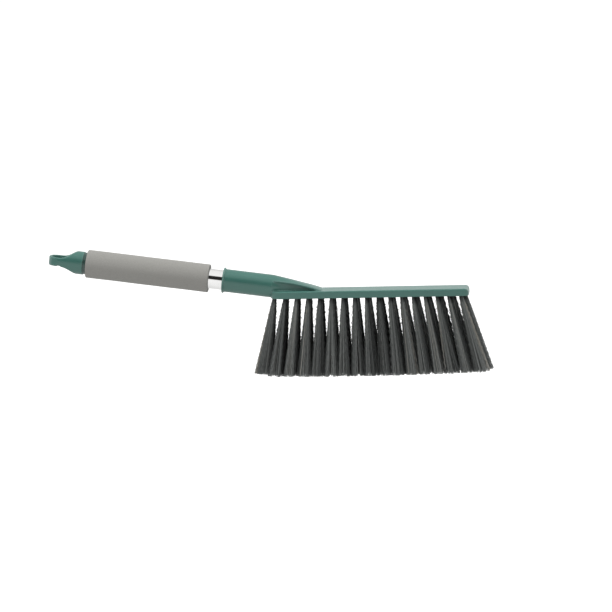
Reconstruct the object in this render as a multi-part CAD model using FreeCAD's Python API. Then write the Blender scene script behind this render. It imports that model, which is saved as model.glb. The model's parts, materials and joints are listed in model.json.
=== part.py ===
"""A long-bristled hand brush with a tube handle, a foam grip and a hanging cap.

Millimetres, +Z up. The brush stands on its bristle tips: z = 0 is the tip plane, and the
origin is on it under the middle of the block. +X runs from the handle to the brush's nose,
and the brush is symmetric about the XZ plane.
"""
import FreeCAD, Part
import math
import os

from FreeCAD import Vector

# Block, which holds the bristles
BLOCK_BOTTOM = 86.0
BLOCK_THICK = 8.0
BLOCK_TOP = BLOCK_BOTTOM + BLOCK_THICK
BLOCK_BACK = -108.7
BLOCK_NOSE = 108.8
BLOCK_HALF_WIDTH = 17.0
BACK_CORNER = 13.0
NOSE_CORNER = 5.0
BLOCK_TOP_ROUND = 1.0
NOSE_TOP_ROUND = 4.5
BLOCK_BOTTOM_ROUND = 0.5

# Bristle tufts: columns along X, rows across Y, fanned out towards their tips.
# The middle row runs nearer to the block's nose than the two outer rows, so its pitch is larger.
COLUMNS = 17
FIRST_COLUMN = -105.2
COLUMN_PITCH = 13.1
TIP_FIRST_COLUMN = -118.6
TIP_COLUMN_PITCH = 15.225
OUTER_ROW_LAG = 0.27
ROW_PITCH = 11.4
TIP_ROW_PITCH = 15.6
HOLE_RADIUS = 2.15
HOLE_DEPTH = 6.2
ROOT_RADIUS = 2.1
ROOT_LENGTH = 6.0
TIP_RADIUS = 7.35

# Flat wire anchors, which pin each folded tuft in its hole
ANCHOR_LENGTH = 4.9
ANCHOR_THICK = 0.45
ANCHOR_HEIGHT = 2.2
ANCHOR_RISE = 3.4

# Handle axis: distances along it are counted from the socket's mouth, up the handle
HANDLE_TILT = 8.0
MOUTH = Vector(-161.6, 0, 106.2)
TUBE_RADIUS = 11.1
TUBE_WALL = 0.5
TUBE_IN_SOCKET = 45.8
FIT_GAP = 0.02

# Socket of the head
SOCKET_LENGTH = 54.8
SOCKET_RADIUS = 12.6
SOCKET_DEPTH = 46.0
SOCKET_TAIL_LENGTH = 12.0
SOCKET_TAIL_RADIUS = 8.0
LIP_RADIUS = 14.1
LIP_FACE_RADIUS = 13.5
LIP_STRAIGHT = 1.2
LIP_LENGTH = 3.4
LIP_HOLLOW = 0.36
MOUTH_CHAMFER = 0.4

# Neck: a wedge from the socket down to the block's top, with a pocket in each side
NECK_HALF_WIDTH = 10.4
NECK_FOOT_HALF_WIDTH = 8.5
NECK_LANDING = -51.5
NECK_LANDING_HALF_WIDTH = 11.0
NECK_ROOT_DEPTH = 4.0
NECK_SECTIONS = 5
NECK_BULGE = 2.2
LANDING_CROWN = 0.4
FLANGE_THICK = 1.7
WEB_HALF_WIDTH = 5.6
POCKET_END = -58.5
POCKET_RAMP = 24.0

# Foam grip
GRIP_START = 15.7
GRIP_END = 152.2
GRIP_RADIUS = 15.5
GRIP_EDGE_ROUND = 1.4

# Hanging cap
CAP_GAP = 0.3
COLLAR_RADIUS = 12.0
COLLAR_LENGTH = 3.3
CAP_RADIUS = 12.75
CAP_TIP = 195.2
CAP_EDGE_ROUND = 0.6
SHOULDER_FROM_TIP = 33.0
SHOULDER_CLEARANCE = 0.25
SHOULDER_SLOPE = 0.25
FLANK_FROM_TIP = 25.0
FLANK_HALF_THICK = 9.0
THROAT_FROM_TIP = 17.5
THROAT_HALF_THICK = 5.5
WAIST_FROM_TIP = 10.5
WAIST_HALF_THICK = 4.9
TIP_HALF_THICK = 5.1
PADDLE_DROP = 0.5
PADDLE_EDGE_ROUND = 1.2
HANG_HOLE_RADIUS = 10.2
HANG_HOLE_ROUND = 1.0
PLUG_LENGTH = 24.0
PLUG_CORE_RADIUS = 9.6
PLUG_BORE_RADIUS = 7.4
PLUG_BORE_PAST_COLLAR = 4.0
PLUG_RIBS = 3
PLUG_RIB_WIDTH = 2.4
PLUG_END_STEP = 1.0
PLUG_RIB_CLEARANCE = 0.05

# How far cutting and joining shapes run past the faces that they meet
OVERRUN = 1.0

HANDLE = FreeCAD.Placement(MOUTH, FreeCAD.Rotation(Vector(0, 1, 0), HANDLE_TILT - 90))


def on_handle(shape):
    """Moves a shape from the handle's own frame, Z up the handle and X upwards, to the row's."""
    moved = shape.copy()
    moved.Placement = HANDLE.multiply(moved.Placement)
    return moved


def revolved(edges):
    """Turns a closed outline in the XZ plane about Z."""
    face = Part.Face(Part.Wire(edges))
    return face.revolve(Vector(0, 0, 0), Vector(0, 0, 1), 360)


def polygon(profile):
    """The edges of a closed outline through (radius, height) points."""
    points = [Vector(r, 0, z) for r, z in profile]
    return Part.makePolygon(points + points[:1]).Edges


def line(start, end):
    return Part.LineSegment(Vector(*start), Vector(*end)).toShape()


def arc(start, middle, end):
    return Part.Arc(Vector(*start), Vector(*middle), Vector(*end)).toShape()


def circle_wire(x, y, z, radius):
    return Part.Wire(Part.makeCircle(radius, Vector(x, y, z), Vector(0, 0, 1)))


def edges_where(shape, test):
    return [e for e in shape.Edges if test(e)]


# ---------------------------------------------------------------- tufts and their anchors


def tuft_places():
    """Yields (column, row) for each tuft. The rounded back end has room only for a middle one."""
    for column in range(COLUMNS):
        rows = (0,) if column == 0 else (-1, 0, 1)
        for row in rows:
            yield column, row


def tuft_axis(column, row, z):
    """The point of a tuft's centre line at height z."""
    share = (BLOCK_BOTTOM - z) / BLOCK_BOTTOM
    lag = abs(row) * column * OUTER_ROW_LAG
    root_x = FIRST_COLUMN + column * COLUMN_PITCH - lag
    tip_x = TIP_FIRST_COLUMN + column * TIP_COLUMN_PITCH - lag
    x = root_x + (tip_x - root_x) * share
    y = row * (ROW_PITCH + (TIP_ROW_PITCH - ROW_PITCH) * share)
    return x, y


def slanted(column, row, stations):
    """A solid round the tuft's centre line, through circles of given (z, radius)."""
    wires = [circle_wire(*tuft_axis(column, row, z), z, r) for z, r in stations]
    return Part.makeLoft(wires, True, True)


def tuft_hole(column, row):
    low = BLOCK_BOTTOM - OVERRUN
    high = BLOCK_BOTTOM + HOLE_DEPTH
    return slanted(column, row, [(low, HOLE_RADIUS), (high, HOLE_RADIUS)])


def anchor(column, row):
    z = BLOCK_BOTTOM + ANCHOR_RISE
    x, y = tuft_axis(column, row, z + ANCHOR_HEIGHT / 2)
    corner = Vector(x - ANCHOR_LENGTH / 2, y - ANCHOR_THICK / 2, z)
    return Part.makeBox(ANCHOR_LENGTH, ANCHOR_THICK, ANCHOR_HEIGHT, corner)


def tuft(column, row):
    stations = [
        (0, TIP_RADIUS),
        (BLOCK_BOTTOM, ROOT_RADIUS),
        (BLOCK_BOTTOM + ROOT_LENGTH, ROOT_RADIUS),
    ]
    return slanted(column, row, stations).cut(anchor(column, row))


# ---------------------------------------------------------------- head


def block():
    """The flat bar: an outline with large back corners and small nose corners."""
    half = BLOCK_HALF_WIDTH
    z = BLOCK_BOTTOM
    back = BLOCK_BACK + BACK_CORNER
    nose = BLOCK_NOSE - NOSE_CORNER
    back_cut = BACK_CORNER * (1 - math.sqrt(0.5))
    nose_cut = NOSE_CORNER * (1 - math.sqrt(0.5))
    edges = []
    for side in (-1, 1):
        back_side = half - BACK_CORNER
        nose_side = half - NOSE_CORNER
        edges += [
            arc(
                (BLOCK_BACK, side * back_side, z),
                (BLOCK_BACK + back_cut, side * (half - back_cut), z),
                (back, side * half, z),
            ),
            line((back, side * half, z), (nose, side * half, z)),
            arc(
                (nose, side * half, z),
                (BLOCK_NOSE - nose_cut, side * (half - nose_cut), z),
                (BLOCK_NOSE, side * nose_side, z),
            ),
        ]
    edges.append(line((BLOCK_BACK, BACK_CORNER - half, z), (BLOCK_BACK, half - BACK_CORNER, z)))
    edges.append(line((BLOCK_NOSE, NOSE_CORNER - half, z), (BLOCK_NOSE, half - NOSE_CORNER, z)))
    outline = Part.Wire(Part.__sortEdges__(edges))
    bar = Part.Face(outline).extrude(Vector(0, 0, BLOCK_THICK))
    bar = bar.makeFillet(
        BLOCK_TOP_ROUND, edges_where(bar, lambda e: e.BoundBox.ZMin > BLOCK_TOP - 0.1)
    )
    bar = bar.common(nose_profile())
    return bar.makeFillet(
        BLOCK_BOTTOM_ROUND,
        edges_where(bar, lambda e: e.BoundBox.ZMax < BLOCK_BOTTOM + 0.1),
    )


def nose_profile():
    """A prism across the block, longer than it, that rounds off the top of its nose."""
    back = BLOCK_BACK - OVERRUN
    low = BLOCK_BOTTOM - OVERRUN
    start = BLOCK_NOSE - NOSE_TOP_ROUND
    foot = BLOCK_TOP - NOSE_TOP_ROUND
    bend = NOSE_TOP_ROUND * math.sqrt(0.5)
    top = BLOCK_TOP + OVERRUN
    edges = [
        line((back, 0, low), (back, 0, top)),
        line((back, 0, top), (start, 0, top)),
        line((start, 0, top), (start, 0, BLOCK_TOP)),
        arc((start, 0, BLOCK_TOP), (start + bend, 0, foot + bend), (BLOCK_NOSE, 0, foot)),
        line((BLOCK_NOSE, 0, foot), (BLOCK_NOSE, 0, low)),
        line((BLOCK_NOSE, 0, low), (back, 0, low)),
    ]
    face = Part.Face(Part.Wire(edges))
    face.translate(Vector(0, -2 * BLOCK_HALF_WIDTH, 0))
    return face.extrude(Vector(0, 4 * BLOCK_HALF_WIDTH, 0))


def socket():
    """The round socket with its flared lip and its tapered tail, solid inside."""
    flare = LIP_RADIUS - SOCKET_RADIUS
    tail = SOCKET_LENGTH + SOCKET_TAIL_LENGTH
    corner = LIP_RADIUS - LIP_FACE_RADIUS
    taper = LIP_LENGTH - LIP_STRAIGHT
    bend = 1 - math.sqrt(0.5)
    profile = [
        line((0, 0, 0), (LIP_FACE_RADIUS, 0, 0)),
        arc(
            (LIP_FACE_RADIUS, 0, 0),
            (LIP_RADIUS - corner * bend, 0, -corner * bend),
            (LIP_RADIUS, 0, -corner),
        ),
        line((LIP_RADIUS, 0, -corner), (LIP_RADIUS, 0, -LIP_STRAIGHT)),
        arc(
            (LIP_RADIUS, 0, -LIP_STRAIGHT),
            (SOCKET_RADIUS + flare * LIP_HOLLOW, 0, -LIP_STRAIGHT - taper * LIP_HOLLOW),
            (SOCKET_RADIUS, 0, -LIP_LENGTH),
        ),
        line((SOCKET_RADIUS, 0, -LIP_LENGTH), (SOCKET_RADIUS, 0, -SOCKET_LENGTH)),
        line((SOCKET_RADIUS, 0, -SOCKET_LENGTH), (SOCKET_TAIL_RADIUS, 0, -tail)),
        line((SOCKET_TAIL_RADIUS, 0, -tail), (0, 0, -tail)),
        line((0, 0, -tail), (0, 0, 0)),
    ]
    return on_handle(revolved(profile))


def socket_bore():
    radius = TUBE_RADIUS + FIT_GAP
    profile = [
        (0, OVERRUN),
        (radius + MOUTH_CHAMFER + OVERRUN, OVERRUN),
        (radius, -MOUTH_CHAMFER),
        (radius, -SOCKET_DEPTH),
        (0, -SOCKET_DEPTH),
    ]
    return on_handle(revolved(polygon(profile)))


def socket_end(up, across):
    """A point of the plane where the socket ends and the neck starts."""
    return HANDLE.multVec(Vector(up, across, -SOCKET_LENGTH))


def ridge_height():
    """Height of the neck's edge above the handle's axis, where the neck leaves the socket."""
    return math.sqrt(SOCKET_RADIUS**2 - NECK_HALF_WIDTH**2)


def neck_section(share):
    """One cross-section of the neck, from 0 at the socket's end to 1 at the landing."""
    if share == 0:
        foot_z = (BLOCK_TOP - NECK_ROOT_DEPTH - socket_end(0, 0).z) / math.cos(
            math.radians(HANDLE_TILT)
        )
        foot = [socket_end(foot_z, side * NECK_FOOT_HALF_WIDTH) for side in (-1, 1)]
        edge = [socket_end(ridge_height(), side * NECK_HALF_WIDTH) for side in (-1, 1)]
        crown = socket_end(SOCKET_RADIUS, 0)
    else:
        start = socket_end(ridge_height(), 0)
        x = start.x + (NECK_LANDING - start.x) * share
        z = start.z + (BLOCK_TOP - start.z) * share + 4 * NECK_BULGE * share * (1 - share)
        half = NECK_HALF_WIDTH + (NECK_LANDING_HALF_WIDTH - NECK_HALF_WIDTH) * share
        foot_half = NECK_FOOT_HALF_WIDTH + (half - NECK_FOOT_HALF_WIDTH) * share
        rise = (SOCKET_RADIUS - ridge_height() - LANDING_CROWN) * (1 - share) ** 2
        foot_z = BLOCK_TOP - NECK_ROOT_DEPTH
        foot = [Vector(x, side * foot_half, foot_z) for side in (-1, 1)]
        edge = [Vector(x, side * half, z) for side in (-1, 1)]
        crown = Vector(x, 0, z + LANDING_CROWN + rise)
    return Part.Wire(
        [
            Part.LineSegment(foot[0], edge[0]).toShape(),
            Part.Arc(edge[0], crown, edge[1]).toShape(),
            Part.LineSegment(edge[1], foot[1]).toShape(),
            Part.LineSegment(foot[1], foot[0]).toShape(),
        ]
    )


def neck_pocket(side):
    """The scoop in one side of the neck, between its top flange and the block."""
    start = socket_end(ridge_height(), 0)
    middle_x = (start.x + POCKET_END) / 2
    middle_share = (middle_x - start.x) / (NECK_LANDING - start.x)
    middle_z = start.z + (BLOCK_TOP - start.z) * middle_share
    middle_z += 4 * NECK_BULGE * middle_share * (1 - middle_share)
    y = side * WEB_HALF_WIDTH
    back = socket_end(0, 0).x - BACK_CORNER
    slope = math.tan(math.radians(HANDLE_TILT))
    top_back = (back, y, start.z - FLANGE_THICK + (start.x - back) * slope)
    top_start = (start.x, y, start.z - FLANGE_THICK)
    top_middle = (middle_x, y, middle_z - FLANGE_THICK)
    tip = (POCKET_END, y, BLOCK_TOP)
    outline = Part.Wire(
        [
            line((back, y, BLOCK_TOP), top_back),
            line(top_back, top_start),
            arc(top_start, top_middle, tip),
            line(tip, (back, y, BLOCK_TOP)),
        ]
    )
    scoop = Part.Face(outline).extrude(Vector(0, side * BLOCK_HALF_WIDTH, 0))
    return scoop.common(pocket_plan(side, start.x))


def pocket_plan(side, start):
    """A tall prism that makes the scoop deepen gradually from the socket's end."""
    low = BLOCK_TOP - NECK_ROOT_DEPTH
    outline = [
        (start, side * (NECK_HALF_WIDTH + OVERRUN), low),
        (start + OVERRUN, side * NECK_HALF_WIDTH, low),
        (start + POCKET_RAMP, side * WEB_HALF_WIDTH, low),
        (POCKET_END + OVERRUN, side * WEB_HALF_WIDTH, low),
        (POCKET_END + OVERRUN, side * 2 * BLOCK_HALF_WIDTH, low),
        (start, side * 2 * BLOCK_HALF_WIDTH, low),
    ]
    points = [Vector(*point) for point in outline]
    face = Part.Face(Part.makePolygon(points + points[:1]))
    return face.extrude(Vector(0, 0, 4 * SOCKET_RADIUS))


def neck():
    shares = [i / (NECK_SECTIONS - 1) for i in range(NECK_SECTIONS)]
    wedge = Part.makeLoft([neck_section(share) for share in shares], True, False)
    for side in (-1, 1):
        wedge = wedge.cut(neck_pocket(side))
    return wedge


def brush_head():
    """Block, neck and socket: one moulding, with its tuft holes and its tube bore."""
    body = block().fuse([socket(), neck()])
    body = body.removeSplitter()
    body = body.cut(socket_bore())
    cuts = [tuft_hole(c, r) for c, r in tuft_places()]
    cuts += [anchor(c, r) for c, r in tuft_places()]
    return body.cut(cuts)


# ---------------------------------------------------------------- handle


def handle_tube():
    inner = TUBE_RADIUS - TUBE_WALL
    low = -TUBE_IN_SOCKET
    profile = [(inner, low), (TUBE_RADIUS, low), (TUBE_RADIUS, GRIP_END), (inner, GRIP_END)]
    return on_handle(revolved(polygon(profile)))


def foam_grip():
    inner = TUBE_RADIUS + FIT_GAP
    profile = [(inner, GRIP_START), (GRIP_RADIUS, GRIP_START), (GRIP_RADIUS, GRIP_END), (inner, GRIP_END)]
    sleeve = revolved(polygon(profile))
    outer = edges_where(sleeve, lambda e: e.BoundBox.XMax > GRIP_RADIUS - 0.1 and len(e.Vertexes) == 1)
    return on_handle(sleeve.makeFillet(GRIP_EDGE_ROUND, outer))


# ---------------------------------------------------------------- hanging cap


def paddle_side(sign):
    """The cap's upper or lower outline, seen from the side: shoulder, waist and tip."""
    points = [
        Vector(sign * (CAP_RADIUS + SHOULDER_CLEARANCE), 0, CAP_TIP - SHOULDER_FROM_TIP),
        Vector(sign * FLANK_HALF_THICK, 0, CAP_TIP - FLANK_FROM_TIP),
        Vector(sign * THROAT_HALF_THICK - PADDLE_DROP, 0, CAP_TIP - THROAT_FROM_TIP),
        Vector(sign * WAIST_HALF_THICK - PADDLE_DROP, 0, CAP_TIP - WAIST_FROM_TIP),
        Vector(sign * TIP_HALF_THICK - PADDLE_DROP, 0, CAP_TIP + OVERRUN),
    ]
    start = Vector(-sign * SHOULDER_SLOPE, 0, 1)
    curve = Part.BSplineCurve()
    curve.interpolate(Points=points, InitialTangent=start, FinalTangent=Vector(0, 0, 1))
    return curve.toShape()


def paddle_profile():
    """A prism across the cap whose outline is the cap seen from the side."""
    start = GRIP_END + CAP_GAP + COLLAR_LENGTH
    wide = CAP_RADIUS + SHOULDER_CLEARANCE
    shoulder = CAP_TIP - SHOULDER_FROM_TIP
    past_tip = CAP_TIP + OVERRUN
    upper_tip = (TIP_HALF_THICK - PADDLE_DROP, 0, past_tip)
    lower_tip = (-TIP_HALF_THICK - PADDLE_DROP, 0, past_tip)
    edges = [
        line((-wide, 0, start), (wide, 0, start)),
        line((wide, 0, start), (wide, 0, shoulder)),
        paddle_side(1),
        line(upper_tip, lower_tip),
        paddle_side(-1),
        line((-wide, 0, shoulder), (-wide, 0, start)),
    ]
    face = Part.Face(Part.Wire(Part.__sortEdges__(edges)))
    face.translate(Vector(0, -2 * CAP_RADIUS, 0))
    return face.extrude(Vector(0, 4 * CAP_RADIUS, 0))


def paddle_plan():
    """A prism through the cap whose outline is the cap seen from above, with a round tip."""
    start = GRIP_END + CAP_GAP + COLLAR_LENGTH
    centre = CAP_TIP - CAP_RADIUS
    edges = [
        line((0, -CAP_RADIUS, centre), (0, -CAP_RADIUS, start)),
        line((0, -CAP_RADIUS, start), (0, CAP_RADIUS, start)),
        line((0, CAP_RADIUS, start), (0, CAP_RADIUS, centre)),
        arc((0, CAP_RADIUS, centre), (0, 0, CAP_TIP), (0, -CAP_RADIUS, centre)),
    ]
    face = Part.Face(Part.Wire(edges))
    face.translate(Vector(-2 * CAP_RADIUS, 0, 0))
    return face.extrude(Vector(4 * CAP_RADIUS, 0, 0))


def cap_plug():
    """The hollow plug in the tube, its ribs, and the collar that covers the tube's end."""
    collar_start = GRIP_END + CAP_GAP
    collar_end = collar_start + COLLAR_LENGTH
    low = collar_start - PLUG_LENGTH
    plug = Part.makeCylinder(PLUG_CORE_RADIUS, PLUG_LENGTH, Vector(0, 0, low))
    collar = Part.makeCylinder(
        COLLAR_RADIUS, COLLAR_LENGTH + OVERRUN, Vector(0, 0, collar_start)
    )
    rib_radius = TUBE_RADIUS - TUBE_WALL - PLUG_RIB_CLEARANCE
    pieces = [collar]
    rib_pitch = (PLUG_LENGTH - PLUG_RIB_WIDTH - 2 * PLUG_END_STEP) / (PLUG_RIBS - 1)
    for i in range(PLUG_RIBS):
        z = low + PLUG_END_STEP + i * rib_pitch
        pieces.append(Part.makeCylinder(rib_radius, PLUG_RIB_WIDTH, Vector(0, 0, z)))
    bore_start = low - OVERRUN
    bore_length = collar_end + PLUG_BORE_PAST_COLLAR - bore_start
    bore = Part.makeCylinder(PLUG_BORE_RADIUS, bore_length, Vector(0, 0, bore_start))
    return plug.fuse(pieces), bore


def end_cap():
    """Plug, collar and paddle in one moulding, with the hole that it hangs by."""
    start = GRIP_END + CAP_GAP + COLLAR_LENGTH
    barrel = Part.makeCylinder(CAP_RADIUS, CAP_TIP - start, Vector(0, 0, start))
    barrel = barrel.makeFillet(
        CAP_EDGE_ROUND, edges_where(barrel, lambda e: e.BoundBox.ZMax < start + 0.1)
    )
    paddle = barrel.common(paddle_profile()).common(paddle_plan())
    paddle = paddle.makeFillet(PADDLE_EDGE_ROUND, edges_where(paddle, is_free_curve))
    hole_centre = CAP_TIP - CAP_RADIUS
    hole = Part.makeCylinder(
        HANG_HOLE_RADIUS, 4 * CAP_RADIUS, Vector(-2 * CAP_RADIUS, 0, hole_centre), Vector(1, 0, 0)
    )
    paddle = paddle.cut(hole)
    paddle = paddle.makeFillet(HANG_HOLE_ROUND, hole_edges(paddle, hole_centre))
    plug, bore = cap_plug()
    cap = paddle.fuse(plug).removeSplitter().cut(bore)
    return on_handle(cap)


def is_free_curve(edge):
    """True on the edges round the paddle's two broad faces."""
    return edge.Curve.TypeId == "Part::GeomBSplineCurve"


def hole_edges(paddle, hole_centre):
    """The two closed edges where the hanging hole meets the paddle's faces."""

    def on_hole(edge):
        points = edge.discretize(9)
        centre = Vector(0, 0, hole_centre)
        return all(
            abs(math.hypot(p.y, p.z - centre.z) - HANG_HOLE_RADIUS) < 0.01 for p in points
        ) and edge.BoundBox.XLength < WAIST_HALF_THICK

    return edges_where(paddle, on_hole)


# ---------------------------------------------------------------- writing


def sub_parts():
    """Every node's name and shape."""
    yield "brush_head", brush_head()
    yield "handle_tube", handle_tube()
    yield "foam_grip", foam_grip()
    yield "hanging_cap", end_cap()
    yield "tuft_anchors", Part.makeCompound([anchor(c, r) for c, r in tuft_places()])
    for column in range(COLUMNS):
        tufts = [tuft(c, r) for c, r in tuft_places() if c == column]
        yield f"tuft_column_{column + 1:02d}", Part.makeCompound(tufts)


os.makedirs("parts", exist_ok=True)
for name, shape in sub_parts():
    shape.exportStep(os.path.join("parts", name + ".step"))
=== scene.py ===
"""The looks of the hand brush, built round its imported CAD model. Everything is in metres.

The brush's block lies along X with its bristles pointing down to z = 0, and its handle rises
towards -X. The foam grip and the bristles are made here; the rest keeps its CAD shape.
"""

import json
import math

import bpy
import numpy as np
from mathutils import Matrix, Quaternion, Vector


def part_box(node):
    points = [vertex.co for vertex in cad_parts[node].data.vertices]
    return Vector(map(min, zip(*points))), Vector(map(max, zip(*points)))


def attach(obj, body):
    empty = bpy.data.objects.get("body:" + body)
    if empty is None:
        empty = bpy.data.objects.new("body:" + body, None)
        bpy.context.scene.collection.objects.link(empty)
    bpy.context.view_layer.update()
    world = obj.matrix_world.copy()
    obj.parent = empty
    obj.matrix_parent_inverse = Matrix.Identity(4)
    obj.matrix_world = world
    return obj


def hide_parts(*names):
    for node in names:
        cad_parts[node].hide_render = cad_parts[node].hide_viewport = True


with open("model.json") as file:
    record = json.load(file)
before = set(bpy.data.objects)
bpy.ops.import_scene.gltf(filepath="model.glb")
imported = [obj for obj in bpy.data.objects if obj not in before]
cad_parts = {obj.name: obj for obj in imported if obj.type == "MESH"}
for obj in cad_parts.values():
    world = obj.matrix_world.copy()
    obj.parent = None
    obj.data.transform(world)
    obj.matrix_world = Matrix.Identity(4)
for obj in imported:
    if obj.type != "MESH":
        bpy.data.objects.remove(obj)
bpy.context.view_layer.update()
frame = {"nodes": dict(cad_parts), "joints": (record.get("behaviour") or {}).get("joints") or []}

MM = 0.001

# ------------------------------------------------------------------ places taken from the frame

HINGE = frame["joints"][0]
CAP_START = Vector(HINGE["pos_m"])
HANDLE_UP = Vector(HINGE["axis"]).normalized()
HANDLE_SIDE = Vector((HANDLE_UP.z, 0, -HANDLE_UP.x))
HANDLE_ACROSS = HANDLE_UP.cross(HANDLE_SIDE)


def vertices_of(node):
    """A CAD node's vertices as rows of x, y and z."""
    mesh = frame["nodes"][node].data
    flat = np.zeros(len(mesh.vertices) * 3)
    mesh.vertices.foreach_get("co", flat)
    return flat.reshape(-1, 3)


# ------------------------------------------------------------------ meshes


def mesh_piece(name, points, quads, ends=(), smooth=True):
    """A mesh object from arrays of points, four-sided faces and end faces of their own size."""
    mesh = bpy.data.meshes.new(name)
    mesh.vertices.add(len(points))
    mesh.vertices.foreach_set("co", np.asarray(points, np.float32).ravel())
    rings = [np.asarray(faces, np.int32) for faces in (quads, ends) if len(faces)]
    mesh.loops.add(sum(ring.size for ring in rings))
    mesh.loops.foreach_set("vertex_index", np.concatenate([ring.ravel() for ring in rings]))
    sizes = np.concatenate([np.full(len(ring), ring.shape[1]) for ring in rings])
    mesh.polygons.add(len(sizes))
    mesh.polygons.foreach_set("loop_start", (np.cumsum(sizes) - sizes).astype(np.int32))
    mesh.polygons.foreach_set("use_smooth", np.full(len(sizes), smooth))
    mesh.update(calc_edges=True)
    mesh.validate()
    piece = bpy.data.objects.new(name, mesh)
    bpy.context.scene.collection.objects.link(piece)
    return piece


# ------------------------------------------------------------------ materials


def linear(*levels):
    """A linear colour from three display levels of 0 to 255."""
    shares = [level / 255 for level in levels]
    return [((s + 0.055) / 1.055) ** 2.4 if s > 0.04045 else s / 12.92 for s in shares] + [1.0]


def shade(colour, factor):
    """The colour made darker or lighter by a factor."""
    return [min(1.0, c * factor) for c in colour[:3]] + [1.0]


class Tree:
    """A node tree, with short ways to add the nodes that the materials and the room share."""

    def __init__(self, tree):
        self.nodes = tree.nodes
        self.links = tree.links

    def new(self, kind, **inputs):
        """A node whose inputs are linked to outputs or set to values."""
        node = self.nodes.new("ShaderNode" + kind)
        for name, value in inputs.items():
            self.put(value, node.inputs[name.replace("_", " ")])
        return node

    def put(self, value, socket):
        """Links an output to a socket, or sets the socket to a value."""
        if isinstance(value, bpy.types.NodeSocket):
            self.links.new(value, socket)
        else:
            socket.default_value = value

    def math(self, operation, *values):
        """The result of a Math node on outputs or numbers."""
        node = self.nodes.new("ShaderNodeMath")
        node.operation = operation
        for value, socket in zip(values, node.inputs):
            self.put(value, socket)
        return node.outputs["Value"]

    def dot(self, vector, direction):
        """How far a vector reaches in a direction."""
        node = self.nodes.new("ShaderNodeVectorMath")
        node.operation = "DOT_PRODUCT"
        self.put(vector, node.inputs[0])
        self.put(direction, node.inputs[1])
        return node.outputs["Value"]

    def spread(self, source, from_low, from_high, to_low, to_high):
        """Spreads one range of values over another, and holds it at its ends."""
        node = self.new(
            "MapRange", Value=source, From_Min=from_low, From_Max=from_high, To_Min=to_low, To_Max=to_high
        )
        return node.outputs["Result"]

    def ramp(self, source, stops):
        """Turns a 0 to 1 value into colours, from (position, colour) stops."""
        node = self.new("ValToRGB", Fac=source)
        elements = node.color_ramp.elements
        while len(elements) < len(stops):
            elements.new(0.5)
        for element, (position, colour) in zip(elements, stops):
            element.position = position
            element.color = colour
        return node.outputs["Color"]

    def mix(self, share, first, second):
        """A colour between two colours."""
        node = self.nodes.new("ShaderNodeMix")
        node.data_type = "RGBA"
        by_name = {socket.identifier: socket for socket in node.inputs}
        self.put(share, by_name["Factor_Float"])
        self.put(first, by_name["A_Color"])
        self.put(second, by_name["B_Color"])
        return next(s for s in node.outputs if s.identifier == "Result_Color")


class Shading(Tree):
    """A material round one Principled shader, with noise that keeps to the object."""

    def __init__(self, name):
        self.material = bpy.data.materials.new(name)
        self.material.use_nodes = True
        super().__init__(self.material.node_tree)
        self.shader = self.nodes["Principled BSDF"]
        self.place = self.new("TexCoord").outputs["Object"]

    def set(self, **values):
        """Sets the shader's sockets, or links them to a node's output."""
        for name, value in values.items():
            self.put(value, self.shader.inputs[name.replace("_", " ")])

    def noise(self, size, detail=2.0, stretch=(1, 1, 1)):
        """Noise with features of about the given size in metres."""
        where = self.new("Mapping", Vector=self.place, Scale=stretch).outputs["Vector"]
        return self.new("TexNoise", Vector=where, Scale=1 / size, Detail=detail).outputs["Fac"]

    def cells(self, size):
        """Round cells of about the given size in metres."""
        return self.new("TexVoronoi", Vector=self.place, Scale=1 / size).outputs["Distance"]

    def tones(self, source, colour, darkest, lightest):
        """A colour that a noise makes a little darker and lighter."""
        low, high = NOISE_RANGE
        return self.ramp(source, [(low, shade(colour, darkest)), (high, shade(colour, lightest))])

    def between(self, source, low, high):
        """A value that a noise moves between two others."""
        return self.spread(source, 0.0, 1.0, low, high)

    def bump(self, height, depth, strength=0.5, over=None):
        """Normals for a surface with dents of the given depth, on top of any earlier ones."""
        node = self.new("Bump", Height=height, Distance=depth, Strength=strength)
        if over is not None:
            self.put(over, node.inputs["Normal"])
        return node.outputs["Normal"]

    def soft_edges(self, radius):
        """Rounded edge normals, and how near each point is to an edge that faces up, for a painted
        highlight.
        """
        bevel = self.new("Bevel", Radius=radius)
        bevel.samples = BEVEL_SAMPLES
        normal = bevel.outputs["Normal"]
        flat = self.new("NewGeometry").outputs["Normal"]
        turn = self.math("SUBTRACT", 1.0, self.dot(normal, flat))
        edge = self.spread(turn, EDGE_TURN_START, EDGE_TURN_FULL, 0.0, 1.0)
        upward = self.spread(self.dot(normal, (0, 0, 1)), *EDGE_FACING_UP, 0.0, 1.0)
        return normal, self.math("MULTIPLY", edge, upward)


NOISE_RANGE = (0.3, 0.7)
GREEN = linear(46, 99, 89)
# Lighter green painted as a highlight on edges that face up
EDGE_HIGHLIGHT_GREEN = linear(126, 166, 156)
EDGE_RADIUS = 2.2 * MM
BEVEL_SAMPLES = 6
EDGE_TURN_START = 0.01
EDGE_TURN_FULL = 0.10
# How much of the painted edge highlight is mixed in
EDGE_HIGHLIGHT_SHARE = 0.75
EDGE_FACING_UP = (-0.35, 0.0)
COLLAR_LENGTH = 3.6 * MM
COLLAR_BLEND = 0.5 * MM
# How dark the painted shade on the cap's collar is
COLLAR_SHADE = 0.42
FOAM_GREY = linear(140, 139, 135)
BRIGHT_STEEL = linear(244, 244, 243)
DULL_STEEL = linear(170, 170, 169)
# From painted shade at the roots and inner flanks to the lightest filaments and painted light on open
# flanks
BRISTLE_TONES = [
    (0.0, linear(12, 14, 13)),
    (0.5, linear(93, 96, 95)),
    (0.85, linear(136, 139, 137)),
    (1.0, linear(164, 158, 147)),
]


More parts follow.
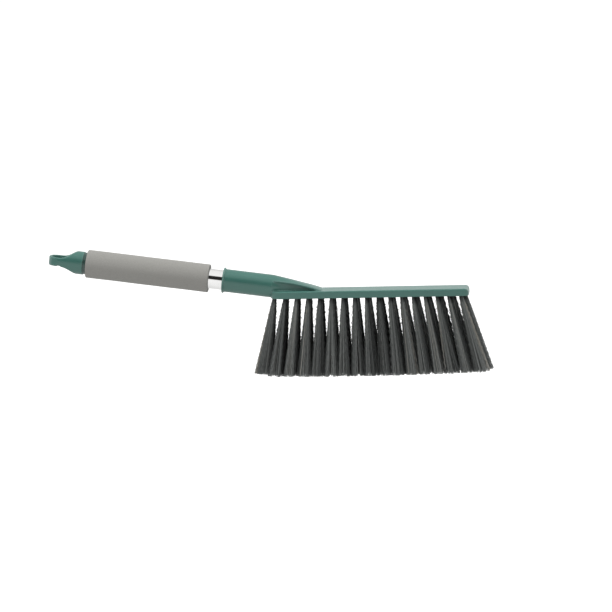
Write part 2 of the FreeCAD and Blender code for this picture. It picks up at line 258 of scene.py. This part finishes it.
def moulded_plastic(name, colour, collar=False):
    """Satin polypropylene: faint flow lines, a fine mould grain, uneven gloss and a painted highlight on
    upward edges.
    """
    look = Shading(name)
    normal, edge = look.soft_edges(EDGE_RADIUS)
    flow = look.noise(24 * MM, detail=3.0, stretch=(0.4, 1, 1))
    tone = look.tones(flow, colour, darkest=0.94, lightest=1.06)
    # Painted highlight: edges that face up turn lighter green, where the top light would catch them
    tone = look.mix(look.math("MULTIPLY", edge, EDGE_HIGHLIGHT_SHARE), tone, EDGE_HIGHLIGHT_GREEN)
    # Painted shade on the collar, in the recess between the grip and the cap
    if collar:
        tone = look.mix(collar_shade_share(look), tone, shade(colour, COLLAR_SHADE))
    waves = look.bump(look.noise(9 * MM, detail=1.0), depth=0.10 * MM, over=normal)
    grain = look.bump(look.noise(0.45 * MM), depth=0.02 * MM, over=waves)
    gloss = look.between(look.noise(5 * MM, detail=3.0), 0.30, 0.42)
    look.set(Base_Color=tone, Roughness=gloss, Normal=grain, Specular_IOR_Level=0.9)
    return look.material


def collar_shade_share(look):
    """1 on the cap's narrow collar, which gets painted shade for the dark gap between the grip and the
    cap.
    """
    along = look.math("SUBTRACT", look.dot(look.place, HANDLE_UP), HANDLE_UP.dot(CAP_START))
    return look.spread(along, COLLAR_LENGTH - COLLAR_BLEND, COLLAR_LENGTH + COLLAR_BLEND, 1.0, 0.0)


def chrome(name):
    """Bright plated steel, with faint polishing lines round the tube and light smears."""
    look = Shading(name)
    smear = look.noise(11 * MM, detail=4.0)
    polish = look.noise(0.35 * MM, stretch=(1.0, 0.03, 0.03))
    tone = look.tones(smear, BRIGHT_STEEL, darkest=0.96, lightest=1.03)
    look.set(Base_Color=tone, Roughness=look.between(smear, 0.03, 0.10), Metallic=1.0)
    look.set(Normal=look.bump(polish, depth=0.004 * MM, strength=0.4))
    return look.material


def foam(name, colour):
    """Closed-cell foam: a matt skin of small cells with a soft, uneven tone."""
    look = Shading(name)
    tone = look.tones(look.noise(1.1 * MM, detail=4.0), colour, darkest=0.93, lightest=1.07)
    dents = look.bump(look.noise(6 * MM), depth=0.12 * MM)
    skin = look.bump(look.cells(0.8 * MM), depth=0.06 * MM, over=dents)
    look.set(Base_Color=tone, Normal=skin, Roughness=0.95, Specular_IOR_Level=0.15)
    look.set(Sheen_Weight=0.08, Sheen_Roughness=0.6)
    return look.material


def bristle(name):
    """Dark crimped plastic filament: its stored tone varies from strand to strand and holds painted shade
    and light.
    """
    look = Shading(name)
    tone = look.new("Attribute")
    tone.attribute_name = TONE_AND_SHADE
    gloss = look.between(look.noise(3 * MM), 0.30, 0.46)
    look.set(Base_Color=look.ramp(tone.outputs["Fac"], BRISTLE_TONES), Roughness=gloss, IOR=1.5)
    return look.material


def wire(name):
    """Plain drawn steel wire."""
    look = Shading(name)
    gloss = look.between(look.noise(0.6 * MM), 0.25, 0.45)
    tone = look.tones(look.noise(2 * MM), DULL_STEEL, darkest=0.8, lightest=1.2)
    look.set(Base_Color=tone, Roughness=gloss, Metallic=1.0)
    return look.material


def dress(piece, material):
    """Gives every face of a piece the one material."""
    slots = piece.data.materials
    if len(slots) == 0:
        slots.append(material)
    for i in range(len(slots)):
        slots[i] = material


# ------------------------------------------------------------------ foam grip

FOAM_ROUND = 0.6 * MM
FOAM_CORNER_STEPS = 8
FOAM_STEPS_ALONG = 220
FOAM_BORE_STEPS = 12
FOAM_STEPS_ROUND = 160
FOAM_UNEVEN = 0.05 * MM
FOAM_WAVES = 6
FOAM_WAVE_LENGTH = 80 * MM
FOAM_SEED = 11


def foam_sizes():
    """The sleeve's two ends along the handle, its bore radius and its outer radius."""
    points = vertices_of("foam_grip") - np.array(CAP_START)
    along = points @ np.array(HANDLE_UP)
    radius = np.hypot(points @ np.array(HANDLE_SIDE), points @ np.array(HANDLE_ACROSS))
    return along.min(), along.max(), radius.min(), radius.max()


def foam_outline():
    """The sleeve's closed outline as rows of (along, radius), out from the bore and back."""
    start, end, bore, outer = foam_sizes()
    turn = np.linspace(0, math.pi / 2, FOAM_CORNER_STEPS + 1)
    inset, drop = FOAM_ROUND * (1 - np.sin(turn)), FOAM_ROUND * (1 - np.cos(turn))
    low_corner = np.stack([start + inset, outer - drop], axis=1)[::-1]
    high_corner = np.stack([end - inset, outer - drop], axis=1)
    skin = np.linspace(start + FOAM_ROUND, end - FOAM_ROUND, FOAM_STEPS_ALONG)[1:-1]
    skin = np.stack([skin, np.full(len(skin), outer)], axis=1)
    inside = np.linspace(end, start, FOAM_BORE_STEPS)
    inside = np.stack([inside, np.full(len(inside), bore)], axis=1)
    low_face = [[start, bore + FOAM_ROUND]]
    high_face = [[end, bore + FOAM_ROUND]]
    return np.concatenate([low_face, low_corner, skin, high_corner, high_face, inside])


def foam_sleeve():
    """The soft sleeve: a lathed tube with rounded ends and a slightly uneven skin."""
    outline = foam_outline()
    along, radius = outline[:, :1], outline[:, 1:]
    turn = np.linspace(0, 2 * math.pi, FOAM_STEPS_ROUND, endpoint=False)[None]
    phases = np.random.default_rng(FOAM_SEED).uniform(0, 2 * math.pi, (FOAM_WAVES, 2))
    swell = 0
    for k, (phase_along, phase_round) in enumerate(phases, start=1):
        wave = np.sin(2 * math.pi * k * along / FOAM_WAVE_LENGTH + phase_along)
        swell = swell + wave * np.cos(k * turn + phase_round) / k
    skin = (radius - radius.min()) / (radius.max() - radius.min())
    reach = radius + FOAM_UNEVEN * skin * swell
    start, up, side, across = (np.array(v) for v in (CAP_START, HANDLE_UP, HANDLE_SIDE, HANDLE_ACROSS))
    points = start + (along + 0 * turn)[..., None] * up
    points = points + (reach * np.cos(turn))[..., None] * side + (reach * np.sin(turn))[..., None] * across
    index = np.arange(points.shape[0] * FOAM_STEPS_ROUND).reshape(-1, FOAM_STEPS_ROUND)
    after = np.roll(index, -1, axis=0)
    quads = np.stack([index, np.roll(index, -1, axis=1), np.roll(after, -1, axis=1), after], axis=-1)
    return mesh_piece("foam_sleeve", points.reshape(-1, 3), quads.reshape(-1, 4))


# ------------------------------------------------------------------ bristles

LEVEL_TOLERANCE = 0.05 * MM
TIP_ROW_WIDTH = 15 * MM
ROOT_IN_HOLE = 5.0 * MM
FILAMENTS = 160
LONE_TUFT_FILAMENTS = 460
FILAMENT_RADIUS = 0.18 * MM
FILAMENT_TAPER = 1.15
FILAMENT_STEPS = 30
FILAMENT_SIDES = 4
ROOT_SPREAD = 2.1 * MM
TIP_SPREAD_X = 8.8 * MM
TIP_SPREAD_Y = 8.3 * MM
LONE_TIP_SPREAD_X = 10.2 * MM
LONE_TIP_SPREAD_Y = 9.5 * MM
SPREAD_SPEED = 1.0
FAN_SPEED = 1.2
SQUARENESS = 0.5
STRANDS = 9
STRAND_INNER = 0.05
STRAND_PULL = 0.28
STRAND_LOOSE = 0.05
CRIMP_LENGTHS = (4.5 * MM, 9 * MM)
CRIMP_SIZE = 0.2 * MM
CRIMP_MOST = 1.1 * MM
CRIMP_START = 6
FLANK_CRIMP = 3.0
FLANK_CRIMP_POWER = 3
MOSTLY_SMALL = 1.5
OWN_LEAN = 0.25
# The stored tone holds painted shade and painted light as well as each filament's own tone
TONE_AND_SHADE = "tone"
TONE_MIDDLE = 0.68
TONE_OF_STRAND = 0.14
TONE_OF_FILAMENT = 0.10
TONE_FALL = 0.02
# Painted shade at the roots, where the block shades them, over ROOT_SHADE of their length
TONE_OF_ROOT = -0.6
ROOT_SHADE = 8 * MM
# Painted shade on flanks facing other tufts, wider on the right, away from the light; painted light on
# open flanks
LEFT_FLANK_START = 0.62
RIGHT_FLANK_START = 0.30
FLANK_DARK = 0.62
OUTSIDE_LIGHT = 0.12
TUFT_UNEVEN = 0.1 * MM
CUT_UNEVEN = 0.03 * MM
COLUMN_WIDTHS = (0.93, 1.05)
COLUMN_DRIFT = 0.5 * MM
SECOND_COLUMN_LEAN = -2.0 * MM
SECOND_COLUMN_WIDTH = 1.14
FIRST_BRISTLE_SEED = 101


def middle(points):
    """The middle of the box round some points."""
    return (points.min(axis=0) + points.max(axis=0)) / 2


def tufts_of(column):
    """The centres of a column's tufts at their roots and at their tips, from its CAD solids."""
    points = vertices_of(column)
    block_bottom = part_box("brush_head")[0].z
    tips = points[points[:, 2] < LEVEL_TOLERANCE]
    roots = points[np.abs(points[:, 2] - block_bottom) < LEVEL_TOLERANCE]
    rows = round(np.ptp(tips[:, 1]) / TIP_ROW_WIDTH)
    return [(middle(in_row(roots, row, rows)), middle(in_row(tips, row, rows))) for row in range(rows)]


def in_row(points, row, rows):
    """The points in one of the equal bands across Y, which each hold one tuft."""
    y = points[:, 1]
    band = (y - y.min()) / np.ptp(y) * rows
    return points[np.clip(band.astype(int), 0, rows - 1) == row]


def scatter(count, rng, inner=0.0):
    """Points spread evenly over a disc of radius 1, without an inner share of its area."""
    angle = rng.uniform(0, 2 * math.pi, count)
    reach = np.sqrt(rng.uniform(inner, 1, count))
    return np.stack([reach * np.cos(angle), reach * np.sin(angle)], axis=1)


def squared(disc):
    """The disc's points pushed out towards a square, as tufts that meet fill each other's gaps."""
    reach = np.maximum(np.hypot(disc[:, 0], disc[:, 1]), 1e-9)
    side = np.abs(disc).max(axis=1) / reach
    return disc / side[:, None] ** SQUARENESS


def strand_places(disc, rng):
    """The strand that each filament belongs to, and the places where the filaments end."""
    strands = scatter(STRANDS, rng, inner=STRAND_INNER)
    nearest = np.argmin(((disc[:, None] - strands[None]) ** 2).sum(axis=2), axis=1)
    places = disc * (1 - STRAND_PULL) + strands[nearest] * STRAND_PULL
    return nearest, squared(places) + rng.normal(0, STRAND_LOOSE, places.shape)


def filament_tones(disc, strand, outside, rng):
    """Each filament's tone: painted shade on flanks facing other tufts, painted light on an open one.

    outside is the side, -1 or 1, on which the column has no neighbour, or 0.
    """
    count = len(disc)
    tone = TONE_MIDDLE + rng.normal(0, TONE_OF_STRAND, STRANDS)[strand]
    tone = tone + rng.normal(0, TONE_OF_FILAMENT, count)
    x = disc[:, 0]
    start = np.where(x < 0, LEFT_FLANK_START, RIGHT_FLANK_START)
    flank = np.clip((np.abs(x) - start) / (1 - start), 0, 1)
    open_side = np.sign(x) == outside
    # Painted shade on inner flanks, painted light on the column's open outer flank
    return tone + flank * np.where(open_side, OUTSIDE_LIGHT, -FLANK_DARK)


def tone_along(lines):
    """How the tone falls towards the tips, and the painted shade at the roots under the block."""
    below = np.clip(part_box("brush_head")[0].z - lines[..., 2], 0, None)
    root = np.clip(1 - below / ROOT_SHADE, 0, 1)
    return TONE_OF_ROOT * root + np.linspace(TONE_FALL, -TONE_FALL, lines.shape[1])


def filament_lines(root, tip, spreads, disc, tips, rng):
    """Centre lines of one tuft's filaments, as an array of (filament, step, xyz)."""
    count = len(disc)
    axis = tip - root
    length = -axis[2]
    short = rng.uniform(0, TUFT_UNEVEN) + rng.gamma(MOSTLY_SMALL, CUT_UNEVEN, count)

    t = np.linspace(-ROOT_IN_HOLE / length, 1, FILAMENT_STEPS + 1)[None]
    out = np.clip(t, 0, 1)
    fan = (out**FAN_SPEED)[..., None]
    where = disc[:, None] * (1 - fan) + tips[:, None] * fan
    reach = ROOT_SPREAD + (np.array(spreads) - ROOT_SPREAD) * out[..., None] ** SPREAD_SPEED
    side = np.array(root[:2]) + axis[:2] * t[..., None] + where * reach

    lean = axis[0] + OWN_LEAN * (side[:, -1, 0] - tip[0])
    tip_height = length - np.sqrt(length**2 - lean**2) + short
    z = root[2] - (root[2] - tip_height[:, None]) * t
    return np.concatenate([side + crimp(disc, length, t, out, rng), z[..., None]], axis=2)


def crimp(disc, length, t, out, rng):
    """The sideways waves of the filaments, each in a plane of its own, largest on the flanks."""
    count = len(disc)
    phase = rng.uniform(0, 2 * math.pi, (count, 1))
    plane = rng.uniform(0, 2 * math.pi, (count, 1))
    size = np.minimum(rng.gamma(MOSTLY_SMALL, CRIMP_SIZE, (count, 1)), CRIMP_MOST)
    size = size * np.clip(out * CRIMP_START, 0, 1)
    size = size * (1 + FLANK_CRIMP * np.abs(disc[:, :1]) ** FLANK_CRIMP_POWER)
    wave = size * np.sin(phase + 2 * math.pi * length * t / rng.uniform(*CRIMP_LENGTHS, (count, 1)))
    return np.stack([wave * np.cos(plane), wave * np.sin(plane)], axis=2)


def filament_tubes(lines):
    """Thin tapering tubes along the centre lines: their points, sides and end faces."""
    count, rings = lines.shape[:2]
    turns = 2 * math.pi * np.arange(FILAMENT_SIDES) / FILAMENT_SIDES
    radius = FILAMENT_RADIUS * np.linspace(1.0, FILAMENT_TAPER, rings)[:, None]
    points = np.repeat(lines[:, :, None, :], FILAMENT_SIDES, axis=2)
    points[..., 0] += radius * np.cos(turns)
    points[..., 1] += radius * np.sin(turns)
    index = np.arange(count * rings * FILAMENT_SIDES).reshape(count, rings, FILAMENT_SIDES)
    low, high = index[:, :-1], index[:, 1:]
    quads = np.stack([low, high, np.roll(high, -1, axis=2), np.roll(low, -1, axis=2)], axis=-1)
    ends = np.concatenate([index[:, -1, ::-1], index[:, 0]])
    return points.reshape(-1, 3), quads.reshape(-1, 4), ends


def bristle_column(column, outside, lean, width, seed):
    """All the filaments of one column of tufts, as one piece.

    outside is as for filament_tones. The tips are moved by lean along the block, and the fan is
    widened by a factor.
    """
    rng = np.random.default_rng(seed)
    tufts = tufts_of(column)
    spreads, count = (TIP_SPREAD_X, TIP_SPREAD_Y), FILAMENTS
    if len(tufts) == 1:
        spreads, count = (LONE_TIP_SPREAD_X, LONE_TIP_SPREAD_Y), LONE_TUFT_FILAMENTS
    spreads = (spreads[0] * width * rng.uniform(*COLUMN_WIDTHS), spreads[1])
    drift = np.array([lean + rng.normal(0, COLUMN_DRIFT), 0, 0])
    lines, tones = [], []
    for root, tip in tufts:
        disc = scatter(count, rng)
        strand, tips = strand_places(disc, rng)
        tones.append(filament_tones(disc, strand, outside, rng))
        lines.append(filament_lines(root, tip + drift, spreads, disc, tips, rng))
    lines = np.concatenate(lines)
    piece = mesh_piece(column.replace("tuft_column", "bristles"), *filament_tubes(lines))
    # The stored tone, with painted shade at the roots and on inner flanks and painted light on open flanks
    tone = np.concatenate(tones)[:, None] + tone_along(lines)
    attribute = piece.data.attributes.new(TONE_AND_SHADE, "FLOAT", "POINT")
    attribute.data.foreach_set("value", np.repeat(tone.ravel(), FILAMENT_SIDES).astype(np.float32))
    return piece


# ------------------------------------------------------------------ studio

CAMERA_AZIMUTH = math.radians(6)
CAMERA_ELEVATION = math.radians(8)
CAMERA_ROLL = math.radians(-1.84)
CAMERA_DISTANCE = 3.0
CAMERA_LENS_PER_METRE = 53.48
CAMERA_TARGET = Vector((-0.0708, 0, 0.0758))
FLOOR_BELOW = 0.25
FLOOR_HALF = 6.0
FLOOR_CLOUDS = 0.4
FLOOR_WHITE = linear(241, 241, 240)
FLOOR_GLOW = 0.45
SOFTBOX_DISTANCE = 2.2
SOFTBOX_SIZE = 0.8
BACKGROUND = 1.05

# What the room sends to matt surfaces, by how far left (0) or right (1) it stands
ROOM_LIGHT = [(0.0, 0.86), (0.5, 0.79), (1.0, 0.92)]
# What glossy surfaces see in the room, as (degrees, level). The degrees turn about X: 0 is in
# front of the brush, 90 above it and 180 behind it.
ROOM = [
    (-180, 1.1),
    (-150, 0.85),
    (-108, 0.80),
    (-66, 0.93),
    (-40, 0.96),
    (-15, 1.0),
    (0, 0.95),
    (5, 0.015),
    (40, 0.015),
    (46, 0.95),
    (62, 0.96),
    (89, 0.92),
    (114, 0.9),
    (136, 0.72),
    (160, 0.8),
    (171, 1.22),
    (180, 1.22),
]


def direction(azimuth, elevation):
    """The way to a place seen from the brush: azimuth 0 is -Y, and it grows towards +X."""
    flat = math.cos(elevation)
    return Vector((math.sin(azimuth) * flat, -math.cos(azimuth) * flat, math.sin(elevation)))


def add_object(name, data, place):
    """A camera or light at a place, ready to be turned."""
    thing = bpy.data.objects.new(name, data)
    bpy.context.scene.collection.objects.link(thing)
    thing.location = place
    thing.rotation_mode = "QUATERNION"
    return thing


def make_camera():
    """The camera at the photo's angle, far enough off to show the brush almost without perspective."""
    data = bpy.data.cameras.new("camera")
    data.lens = CAMERA_LENS_PER_METRE * CAMERA_DISTANCE
    back = direction(CAMERA_AZIMUTH, CAMERA_ELEVATION)
    camera = add_object("camera", data, CAMERA_TARGET + back * CAMERA_DISTANCE)
    level = (-back).to_track_quat("-Z", "Y")
    camera.rotation_quaternion = level @ Quaternion((0, 0, 1), CAMERA_ROLL)
    bpy.context.scene.camera = camera


def add_softbox(name, azimuth, elevation, level):
    """A softbox that lights a white surface facing it to the given level. Mirrors don't show it."""
    data = bpy.data.lights.new(name, "AREA")
    data.size = SOFTBOX_SIZE
    data.energy = level * (math.pi * SOFTBOX_DISTANCE) ** 2
    way = direction(math.radians(azimuth), math.radians(elevation))
    light = add_object(name, data, CAMERA_TARGET + way * SOFTBOX_DISTANCE)
    light.rotation_quaternion = (-way).to_track_quat("-Z", "Y")
    light.visible_glossy = False
    light.visible_camera = False


def make_world():
    """A white room: pure white to look at, softer as light, with a dark strip in reflections."""
    world = bpy.data.worlds.new("white_room")
    bpy.context.scene.world = world
    world.use_nodes = True
    room = Tree(world.node_tree)
    room.nodes.clear()
    x, y, z = room.new("SeparateXYZ", Vector=room.new("TexCoord").outputs["Generated"]).outputs
    turn = room.math("ARCTAN2", z, room.math("MULTIPLY", y, -1.0))
    share = room.spread(turn, -math.pi, math.pi, 0.0, 1.0)
    stops = [((degrees + 180) / 360, (level, level, level, 1)) for degrees, level in ROOM]

    seen = room.new("Background", Color=(1, 1, 1, 1), Strength=BACKGROUND)
    soft_stops = [(place, (level, level, level, 1)) for place, level in ROOM_LIGHT]
    soft = room.new("Background", Color=room.ramp(room.spread(x, -1, 1, 0, 1), soft_stops), Strength=1.0)
    gloss = room.new("Background", Color=room.ramp(share, stops), Strength=1.0)

    path = room.new("LightPath")
    light = room.new("MixShader", Fac=path.outputs["Is Glossy Ray"])
    room.links.new(soft.outputs["Background"], light.inputs[1])
    room.links.new(gloss.outputs["Background"], light.inputs[2])
    view = room.new("MixShader", Fac=path.outputs["Is Camera Ray"])
    room.links.new(light.outputs["Shader"], view.inputs[1])
    room.links.new(seen.outputs["Background"], view.inputs[2])
    room.new("OutputWorld", Surface=view.outputs["Shader"])


def make_floor():
    """A pale floor below the brush, too bright to show a shadow."""
    corners = [(-1, -1), (1, -1), (1, 1), (-1, 1)]
    points = [(FLOOR_HALF * x, FLOOR_HALF * y, -FLOOR_BELOW) for x, y in corners]
    floor = mesh_piece("floor", points, [(0, 1, 2, 3)], smooth=False)
    look = Shading("pale_floor")
    tone = look.tones(look.noise(FLOOR_CLOUDS), FLOOR_WHITE, darkest=0.98, lightest=1.02)
    look.set(Base_Color=tone, Roughness=0.9, Specular_IOR_Level=0.1)
    look.set(Emission_Strength=FLOOR_GLOW, Emission_Color=(1, 1, 1, 1))
    dress(floor, look.material)
    floor.visible_diffuse = False
    floor.visible_glossy = False


# ------------------------------------------------------------------ the scene

make_camera()
make_world()
add_softbox("top_softbox", azimuth=-20, elevation=86, level=0.66)
add_softbox("side_softbox", azimuth=-60, elevation=16, level=0.12)
make_floor()
bpy.context.scene.view_settings.view_transform = "Standard"

dress(frame["nodes"]["brush_head"], moulded_plastic("green_head_plastic", GREEN))
# The cap's plastic carries painted shade on its collar
dress(frame["nodes"]["hanging_cap"], moulded_plastic("green_cap_plastic", GREEN, collar=True))
dress(frame["nodes"]["handle_tube"], chrome("chromed_steel"))
dress(frame["nodes"]["tuft_anchors"], wire("anchor_steel"))

sleeve = foam_sleeve()
dress(sleeve, foam("grey_foam", FOAM_GREY))
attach(sleeve, "brush")
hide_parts("foam_grip")

bristle_look = bristle("dark_bristle")
columns = sorted(name for name in frame["nodes"] if name.startswith("tuft_column"))
for i, column in enumerate(columns):
    outside = (column == columns[-1]) - (column == columns[0])
    lean, width = (SECOND_COLUMN_LEAN, SECOND_COLUMN_WIDTH) if i == 1 else (0, 1)
    piece = bristle_column(column, outside, lean, width, FIRST_BRISTLE_SEED + i)
    dress(piece, bristle_look)
    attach(piece, "brush")
    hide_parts(column)
